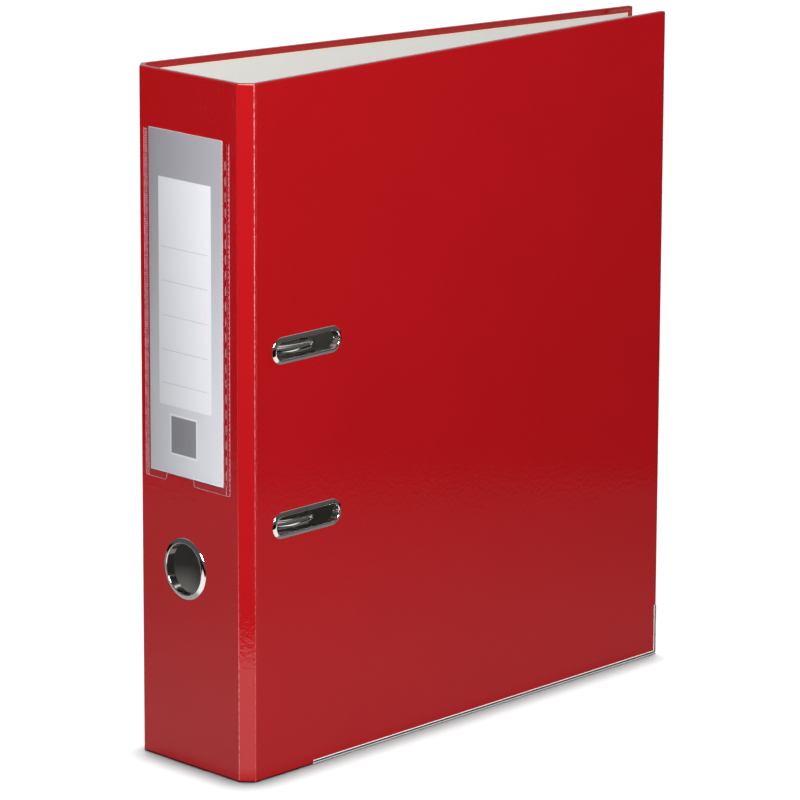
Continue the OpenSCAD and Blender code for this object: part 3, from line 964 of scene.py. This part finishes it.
class CASE_OT_finger_ring(bpy.types.Operator):
    """Builds the chromed finger ring in the spine and the washer behind it"""

    bl_idname = "lever_file.finger_ring"
    bl_label = "Finger ring"

    def execute(self, context):
        u, z = fitting_place("finger_ring", SPINE)
        scale = sizes().ring_proud / MM
        profile = [(r, h * scale if h > 0 else h) for r, h in RING_PROFILE]
        for name, shape, node_name in (("finger_ring_eyelet", profile, "finger_ring"),
                                       ("finger_ring_backing", WASHER_PROFILE, "finger_ring_washer")):
            fit(turned(name, shape, SPINE, u, z), nickel_chrome, "spine", node_name)
        return {"FINISHED"}


def guard_section():
    """Cross-section of an edge guard, a folded channel: depth, and distance in from its outer edge."""
    wide, leg, sheet, bend = CASE_THICKNESS / MM, GUARD_LEG / MM, 0.3, 0.4
    outer_a = arc((-sheet + bend, bend), bend, 180, 270, 3)
    outer_b = arc((wide + sheet - bend, bend), bend, 270, 360, 3)
    inner_b = arc((wide - 0.15, sheet + 0.15), 0.15, 0, -90, 2)
    inner_a = arc((0.15, sheet + 0.15), 0.15, 270, 180, 2)
    tip_b = [(wide + sheet, leg - 0.15), (wide + sheet - 0.07, leg - 0.03), (wide + 0.07, leg - 0.03),
             (wide, leg - 0.15)]
    tip_a = [(0, leg - 0.15), (-0.07, leg - 0.03), (-sheet + 0.07, leg - 0.03), (-sheet, leg - 0.15)]
    tip_a += [(-sheet, 1.55), (-sheet + 0.12, 1.45), (-sheet + 0.12, 0.95), (-sheet, 0.85)]
    return [(n * MM, w * MM) for n, w in outer_a + outer_b + tip_b + inner_b + inner_a + tip_a]


def edge_guard(name, panel, start, end, rise):
    """A channel along a cover's foot that turns up its fore edge."""
    leg, corner = GUARD_LEG, 1.6 * MM
    tip = (end - leg, leg)
    path = [((start + (end - corner - start) * i / 6, 0.0), None) for i in range(7)]
    path += [(p, tip) for p in arc((end - corner, corner), corner, -78, -12, 6)]
    path += [((end, corner + (rise - corner) * i / 3), None) for i in range(4)]
    rows = []
    for (u, z), inner in path:
        if inner is None:
            inner = (u, leg) if z < 1e-9 else (end - leg, max(z, leg))
        rows.append([panel.at(u + (inner[0] - u) * w / leg, n, z + (inner[1] - z) * w / leg)
                     for n, w in guard_section()])
    return smooth(outward(swept(name, rows)))


class CASE_OT_edge_guards(bpy.types.Operator):
    """Builds the bright steel guards on the covers' feet"""

    bl_idname = "lever_file.edge_guards"
    bl_label = "Edge guards"

    def execute(self, context):
        for panel, word in ((FRONT, "front"), (BACK, "back")):
            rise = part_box(f"{word}_edge_guard")[1].z
            guard = edge_guard(f"{word}_foot_channel", panel, *GUARD_ENDS, rise)
            finish_with(guard, zinc_plated_strip, painted_dark_reflection_groove)
            count = len(guard_section())
            for face in guard.data.polygons:
                # The groove's faces take the near-black paint of a dark reflection and shade.
                if face.index % count in (count - 4, count - 3, count - 2) and len(face.vertices) == 4:
                    face.material_index = 1
            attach(guard, f"{word}_cover")
            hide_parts(f"{word}_edge_guard")
        return {"FINISHED"}


# ---- Label and pocket ----

# Places on the pocket in millimetres, along the spine from its back crease and in height.
FILM_BACK, FILM_FRONT, FILM_FOOT, FILM_HEAD = 3.0, 60.8, 131.3, 290.5
NOTCH_BACK, NOTCH_FRONT, NOTCH_TOP = 17.3, 36.1, 134.5
WELD_FOOT, WELD_HEAD = 131.4, 290.6
FILM_BASE = 0.17             # how far the welded film stands off the spine


def step_between(value, low, high):
    """0 below low, 1 above high and smooth between."""
    t = min(1.0, max(0.0, (value - low) / (high - low)))
    return t * t * (3 - 2 * t)


def film_height(u, z):
    """How far the pocket's film stands off the spine, in millimetres."""
    sides = step_between(u, 4.6, 6.4) * (1 - step_between(u, 57.2, 59.2))
    in_notch = step_between(u, 17.4, 19.0) * (1 - step_between(u, 34.4, 36.0))
    foot = step_between(z, 134.4, 136.4)
    wave = 0.03 * math.sin(z / 17.0) + 0.025 * math.sin(u / 6.0 + z / 31.0)
    return FILM_BASE + sides * max(foot, in_notch) * (0.45 + wave)


def pocket_film():
    """The clear front of the pocket, welded at its sides and two feet, with a thumb notch between them."""
    us = [2.8, 3.6, 4.6, 4.95, 5.3, 5.7, 6.1, 6.4, 9, 13, 16.8, 17.4, 18.0, 18.6, 22, 26.7, 31, 34.8, 35.4,
          36, 36.6, 41, 46, 51, 55, 57.2, 57.7, 58.2, 58.7, 59.2, 60.2, 61]
    zs = [131, 132.2, 133.4, 134.2, 134.6, 135.1, 135.6, 136.1, 136.6]
    zs += [140 + 6 * i for i in range(25)] + [289, 291]
    points = [SPINE.at(u * MM, -film_height(u, z) * MM, z * MM) for u in us for z in zs]
    count = len(zs)
    faces = []
    for i in range(len(us) - 1):
        for k in range(count - 1):
            middle_u, middle_z = (us[i] + us[i + 1]) / 2, (zs[k] + zs[k + 1]) / 2
            if NOTCH_BACK < middle_u < NOTCH_FRONT and middle_z < NOTCH_TOP:
                continue
            a = i * count + k
            faces.append([a, a + count, a + count + 1, a + 1])
    obj = new_object("pocket_clear_film", points, faces)
    sheet = obj.modifiers.new("film", "SOLIDIFY")
    sheet.thickness = 0.1 * MM
    sheet.offset = -1
    applied(obj)
    return smooth(obj)


def weld_strip(name, u0, u1, pitch):
    """A knurled weld: a narrow strip of frosted ribs with clear film between them."""
    rows = []
    for i in range(int((WELD_HEAD - WELD_FOOT) / pitch) * 4 + 1):
        z = WELD_FOOT + (i // 4 + (0, 0.14, 0.46, 0.6)[i % 4]) * pitch
        top = 0.2 + 0.1 * (0, 1, 1, 0)[i % 4]
        loop = ((u0, 0.05), (u0 + 0.05, top), (u1 - 0.05, top), (u1, 0.05))
        rows.append([SPINE.at(u * MM, -h * MM, z * MM) for u, h in loop])
    strip = outward(swept(name, rows))
    finish_with(strip, welded_film, clear_pocket_film)
    for i in range(len(rows) - 1):
        for k in range(4):
            strip.data.polygons[4 * i + k].material_index = 1 if i % 4 == 3 else 0
    return smooth(strip, math.radians(50))


def film_cut_edge():
    """The film's cut edge: down one side, round the two feet and their notch, and up the other side."""
    corners = [(FILM_BACK, FILM_HEAD), (FILM_BACK, FILM_FOOT), (NOTCH_BACK, FILM_FOOT),
               (NOTCH_BACK, NOTCH_TOP), (NOTCH_FRONT, NOTCH_TOP), (NOTCH_FRONT, FILM_FOOT),
               (FILM_FRONT, FILM_FOOT), (FILM_FRONT, FILM_HEAD)]
    path = rounded_path([Vector((u, z, 0)) for u, z in corners], 1.2)
    line = [SPINE.at(p.x * MM, -FILM_BASE * MM, p.y * MM) for p in path]
    edge = tube("pocket_cut_edge", line, 0.13 * MM, 8)
    finish_with(edge, welded_film)
    return edge


class CASE_OT_label(bpy.types.Operator):
    """Builds the printed card in the label pocket"""

    bl_idname = "lever_file.label"
    bl_label = "Label card"

    def execute(self, context):
        low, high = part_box("label_card")
        r = 0.4 * MM
        left, right, foot, head = low.x + r, high.x - r, low.z + r, high.z - r
        outline = (arc((left, foot), r, 180, 270, 3) + arc((right, foot), r, 270, 360, 3)
                   + arc((right, head), r, 0, 90, 3) + arc((left, head), r, 90, 180, 3))
        middle = (low + high) / 2
        inset, lip = 0.05 * MM, 0.03 * MM
        rows = []
        for y, back_off in ((high.y, inset), (high.y - lip, 0), (low.y + lip, 0), (low.y, inset)):
            rows.append([Vector((x - math.copysign(back_off, x - middle.x), y,
                                 z - math.copysign(back_off, z - middle.z))) for x, z in outline])
        card = smooth(outward(swept("printed_card", rows)))
        fit(card, printed_label_card, "label", "label_card")
        return {"FINISHED"}


class CASE_OT_label_pocket(bpy.types.Operator):
    """Builds the clear pocket over the label, with its knurled welds"""

    bl_idname = "lever_file.label_pocket"
    bl_label = "Label pocket"

    def execute(self, context):
        film = pocket_film()
        finish_with(film, clear_pocket_film)
        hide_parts("label_pocket")
        welds = [weld_strip("pocket_weld_back", 3.5, 5.3, 0.8),
                 film_cut_edge(),
                 weld_strip("pocket_fold_front", 58.0, 58.3, 7.0),
                 weld_strip("pocket_weld_front", 60.3, 60.7, 2.3)]
        for obj in (film, *welds):
            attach(obj, "spine")
        return {"FINISHED"}


# ---- Mechanism ----

def soften(node, width_mm, segments=2):
    """Rounds the sharp edges of a carried-over node, for the light to catch."""
    weld = node.modifiers.new("weld", "WELD")
    weld.merge_threshold = 0.002 * MM
    bevel = node.modifiers.new("bevel", "BEVEL")
    bevel.width = width_mm * MM
    bevel.segments = segments
    bevel.limit_method = "ANGLE"
    bevel.angle_limit = math.radians(40)
    bevel.use_clamp_overlap = True


def rounded_path(points, radius, steps=6):
    """A polyline with each inner corner turned into an arc of this radius."""
    out = [points[0]]
    for before, corner, after in zip(points, points[1:], points[2:]):
        a, b = (before - corner).normalized(), (after - corner).normalized()
        half = a.angle(b) / 2
        tangent = radius / math.tan(half)
        middle = (a + b).normalized()
        centre = corner + middle * (radius / math.sin(half))
        start, end = corner + a * tangent - centre, corner + b * tangent - centre
        for i in range(steps + 1):
            share = i / steps
            total = start.angle(end)
            weight_a = math.sin((1 - share) * total) / math.sin(total)
            weight_b = math.sin(share * total) / math.sin(total)
            out.append(centre + start * weight_a + end * weight_b)
    return out + [points[-1]]


def tube(name, path, radius, sides=20):
    """A round bar along a path, with softly rounded ends."""
    rows = []
    tangent = (path[1] - path[0]).normalized()
    normal = tangent.orthogonal().normalized()
    for i, point in enumerate(path):
        ahead = path[min(i + 1, len(path) - 1)] - path[max(i - 1, 0)]
        new_tangent = ahead.normalized()
        normal.rotate(tangent.rotation_difference(new_tangent))
        normal = (normal - new_tangent * normal.dot(new_tangent)).normalized()
        tangent = new_tangent
        side = tangent.cross(normal)
        stops = [(0.0, 1.0)]
        if i == 0:
            stops = [(0.0, 0.8), (0.12, 0.94), (0.35, 1.0)]
        elif i == len(path) - 1:
            stops = [(-0.35, 1.0), (-0.12, 0.94), (0.0, 0.8)]
        for shift, scale in stops:
            middle = point + tangent * (shift * MM)
            rows.append([middle + (normal * math.cos(a) + side * math.sin(a)) * (radius * scale)
                         for a in (2 * math.pi * k / sides for k in range(sides))])
    return smooth(outward(swept(name, rows)))


def arch_wire_path():
    """The middle line of the two arches and their cranked shaft, which are bent from one wire."""
    shaft_u, crank_u, post_u = 12.0, 20.0, 55.0
    shaft_n, arch_n = 8.5, 46.3
    arch_z, shaft_end_z, crank_z = 40, 16, 11
    middle = (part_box("arch_wire")[0].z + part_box("arch_wire")[1].z) / 2 / MM
    upper_bends = [(shaft_u, arch_n, arch_z), (shaft_u, shaft_n, arch_z), (shaft_u, shaft_n, shaft_end_z),
                   (crank_u, shaft_n, crank_z)]
    run = [Vector((u, n, -z)) for u, n, z in upper_bends] + [Vector(b) for b in reversed(upper_bends)]
    line = rounded_path(run[:3], 5)[:-1] + rounded_path(run[1:7], 2.2)[1:-1] + rounded_path(run[5:], 5)[1:]
    centre, radius = ((shaft_u + post_u) / 2, arch_n), (post_u - shaft_u) / 2
    first = [Vector((a, b, -arch_z)) for a, b in arc(centre, radius, 0, 180, 40)]
    last = [Vector((a, b, arch_z)) for a, b in arc(centre, radius, 180, 0, 40)]
    whole = first + line[1:-1] + last
    return [BACK.at(p.x * MM, p.y * MM, (middle + p.z) * MM) for p in whole]


class CASE_OT_mechanism(bpy.types.Operator):
    """Builds the arches and finishes the plate, posts, lever and compressor bar on the back cover"""

    bl_idname = "lever_file.mechanism"
    bl_label = "Mechanism"

    def execute(self, context):
        wire = tube("bent_arch_wire", arch_wire_path(), 2.25 * MM)
        fit(wire, nickel_chrome, "arches", "arch_wire")
        finishes = {
            "base_plate": (pressed_nickel_steel, "plate_steel", 0.3),
            "rivets": (nickel_chrome, "plate_steel", 0.12),
            "upper_post": (nickel_chrome, "wire_steel", 0.25),
            "lower_post": (nickel_chrome, "wire_steel", 0.25),
            "shaft_bearings": (pressed_nickel_steel, "plate_steel", 0.3),
            "lever_bracket": (pressed_nickel_steel, "plate_steel", 0.3),
            "lever_pin": (nickel_chrome, "plate_steel", 0.2),
            "lever_arm": (bright_strip_steel, "lever_steel", 0.3),
            "lever_grip": (black_moulded_plastic, "grip_plastic", 0.8),
            "compressor_bar": (bright_strip_steel, "bar_steel", 0.35),
        }
        for name, (maker, slot_name, width) in finishes.items():
            node = frame["nodes"][name]
            finish_with(node, maker)
            soften(node, width)
        return {"FINISHED"}


# ---- Studio ----

TABLE_HALF = 9.0
TABLE_WHITE = 0.15           # reflectance at which the lit table is fully white
LIT_POINT = (0, 0, 0.14)     # the place on the file that the soft boxes face


def aimed(obj, target):
    """Turns an object so that its -Z looks at a point."""
    obj.rotation_euler = (Vector(target) - obj.location).to_track_quat("-Z", "Y").to_euler()


def soft_box(name, place, target, width, height, power):
    """A rectangular area light."""
    lamp = bpy.data.lights.new(name, "AREA")
    lamp.shape = "RECTANGLE"
    lamp.size, lamp.size_y = width, height
    lamp.energy = power
    obj = bpy.data.objects.new(name, lamp)
    bpy.context.scene.collection.objects.link(obj)
    obj.location = place
    aimed(obj, target)
    return obj


def light_only(lamp, receiver, state):
    """Makes a lamp light only this object ("INCLUDE"), or everything but it ("EXCLUDE")."""
    group = bpy.data.collections.new(f"{lamp.name} lights")
    group.objects.link(receiver)
    group.collection_objects[0].light_linking.link_state = state
    lamp.light_linking.receiver_collection = group


def pale_table(tree):
    """A matt white table top. It looks fully white, but the gloss of the file sees a painted pool of light on
    it: a grey painted bright in front of the file and dimmer to its sides. To other light it is nearly black."""
    place = object_place(tree)
    to_camera = (0, 0, math.radians(-45))
    turned_place = add_node(tree, "Mapping", {"Vector": place, "Rotation": to_camera})["Vector"]
    parts = add_node(tree, "SeparateXYZ", {"Vector": turned_place})
    sideways, deep = parts["X"], parts["Y"]
    # Painted pool of light for the glossy rays: bright in front of the file, falling off to its sides,
    # lighter on the left.
    front_end = remap(tree, deep, -0.35, -0.335, 0.0, 1.1)
    left = math_node(tree, "ADD", remap(tree, sideways, -0.70, -0.635, 0.0, 0.24),
                     remap(tree, sideways, -0.45, -0.15, 0.0, 0.21))
    right = math_node(tree, "ADD", remap(tree, sideways, 0.43, 0.475, 0.11, 0.0),
                      remap(tree, sideways, 0.05, 0.43, 0.15, 0.0))
    halves = [math_node(tree, "MULTIPLY", level, remap(tree, sideways, -0.08, -0.06, *ends))
              for level, ends in ((left, (1.0, 0.0)), (right, (0.0, 1.0)))]
    beside = remap(tree, deep, -0.15, -0.125)
    side_part = math_node(tree, "MULTIPLY", math_node(tree, "ADD", *halves), beside)
    front_part = math_node(tree, "MULTIPLY", front_end, math_node(tree, "SUBTRACT", 1.0, beside))
    level = math_node(tree, "MULTIPLY", math_node(tree, "ADD", side_part, front_part), TABLE_WHITE)
    grey = add_node(tree, "CombineColor", {"Red": level, "Green": level, "Blue": level})["Color"]
    seen, painted_light_pool, felt = (add_node(tree, "BsdfDiffuse", {"Color": colour})["BSDF"]
                         for colour in ([TABLE_WHITE] * 3, grey, [0.02] * 3))
    path = add_node(tree, "LightPath")
    surface(tree, mixed(tree, path["Is Camera Ray"], mixed(tree, path["Is Glossy Ray"], felt, painted_light_pool), seen))


def studio_world():
    """White surroundings that give the file only a dim fill, stronger from high behind it."""
    world = bpy.data.worlds.new("studio")
    world.use_nodes = True
    tree = world.node_tree
    tree.nodes.clear()
    white = add_node(tree, "Background", {"Color": (1, 1, 1), "Strength": 1.0})["Background"]
    ray = add_node(tree, "TexCoord")["Generated"]
    aim = add_node(tree, "VectorMath", {0: ray, 1: (-0.5, 0.5, 0.707)}, operation="DOT_PRODUCT")["Value"]
    fill = {"Color": (0.95, 0.97, 1), "Strength": remap(tree, aim, 0.6, 0.95, 0.11, 0.9)}
    dim = add_node(tree, "Background", fill)["Background"]
    seen = add_node(tree, "LightPath")["Is Camera Ray"]
    add_node(tree, "OutputWorld", {"Surface": mixed(tree, seen, dim, white)})
    bpy.context.scene.world = world


class CASE_OT_stage(bpy.types.Operator):
    """Sets up the table, the lights and the camera"""

    bl_idname = "lever_file.stage"
    bl_label = "Stage"

    def execute(self, context):
        scene = context.scene
        settings = scene.file_studio
        scene.view_settings.view_transform = "Standard"
        signs = ((-1, -1), (1, -1), (1, 1), (-1, 1))
        corners = [Vector((x * TABLE_HALF, y * TABLE_HALF, 0)) for x, y in signs]
        table = new_object("table_top", corners, [[0, 1, 2, 3]])
        finish_with(table, pale_table)
        studio_world()
        soft_box("key soft box", (1.13, -0.99, 1.22), LIT_POINT, 0.9, 0.7, settings.key_power)
        soft_box("left reflector", (-1.3, -0.8, 0.55), LIT_POINT, 0.8, 0.9, 1.0).visible_glossy = False
        for name, place in (("back soft box", (-2.0, 0.18, 1.35)), ("side soft box", (-0.18, 2.0, 1.35))):
            soft_box(name, place, LIT_POINT, 1.2, 1.0, settings.back_power).visible_glossy = False
        for obj in scene.objects:
            if obj.type == "LIGHT":
                light_only(obj, table, "EXCLUDE")
        for name, energy, spread, lean in (("table light", 18.6, 3.6, 0.026), ("table fill", 4.6, 60, 0.0)):
            lamp = bpy.data.lights.new(name, "SUN")
            lamp.energy = energy
            lamp.angle = math.radians(spread)
            above = bpy.data.objects.new(name, lamp)
            scene.collection.objects.link(above)
            above.location = (-lean, lean, 1.5)
            aimed(above, (0, 0, 0))
            light_only(above, table, "INCLUDE")
        camera = bpy.data.objects.new("camera", bpy.data.cameras.new("camera"))
        scene.collection.objects.link(camera)
        camera.data.sensor_width = 36
        camera.data.lens = settings.lens
        camera.data.clip_start, camera.data.clip_end = 0.05, 60
        camera.location = (1.6741, -1.5724, 0.6867)
        turn, down, roll = math.radians(47.079), math.radians(13.195), math.radians(0.231)
        ahead = Vector((-math.sin(turn) * math.cos(down), math.cos(turn) * math.cos(down), -math.sin(down)))
        level = ahead.to_track_quat("-Z", "Y")
        camera.rotation_mode = "QUATERNION"
        camera.rotation_quaternion = level @ Quaternion((0, 0, 1), roll)
        scene.camera = camera
        return {"FINISHED"}


class CASE_PT_file(bpy.types.Panel):
    """Lists the steps that build the file"""

    bl_idname = "CASE_PT_file"
    bl_label = "Lever arch file"
    bl_space_type = "VIEW_3D"
    bl_region_type = "UI"
    bl_category = "Lever arch file"

    def draw(self, context):
        for group in (context.scene.file_sizes, context.scene.file_colours, context.scene.file_studio):
            box = self.layout.box()
            for name in group.__annotations__:
                box.prop(group, name)
        for step in STEPS:
            self.layout.operator(step.bl_idname)


STEPS = (CASE_OT_wrap, CASE_OT_lining, CASE_OT_boards, CASE_OT_finger_ring, CASE_OT_slot_rims,
         CASE_OT_edge_guards, CASE_OT_label, CASE_OT_label_pocket, CASE_OT_mechanism, CASE_OT_stage)
GROUPS = {"file_sizes": FileSizes, "file_colours": FileColours, "file_studio": StudioSettings}


def register():
    """Registers every class and hangs the settings on the scene."""
    for cls in (*GROUPS.values(), *STEPS, CASE_PT_file):
        bpy.utils.register_class(cls)
    for name, group in GROUPS.items():
        setattr(bpy.types.Scene, name, bpy.props.PointerProperty(type=group))


def unregister():
    """Takes the settings off the scene and unregisters every class."""
    for name in GROUPS:
        delattr(bpy.types.Scene, name)
    for cls in reversed((*GROUPS.values(), *STEPS, CASE_PT_file)):
        bpy.utils.unregister_class(cls)


def main():
    """Builds the file and its studio."""
    register()
    for step in STEPS:
        group, name = step.bl_idname.split(".")
        getattr(getattr(bpy.ops, group), name)()


if __name__ == "__main__":
    main()
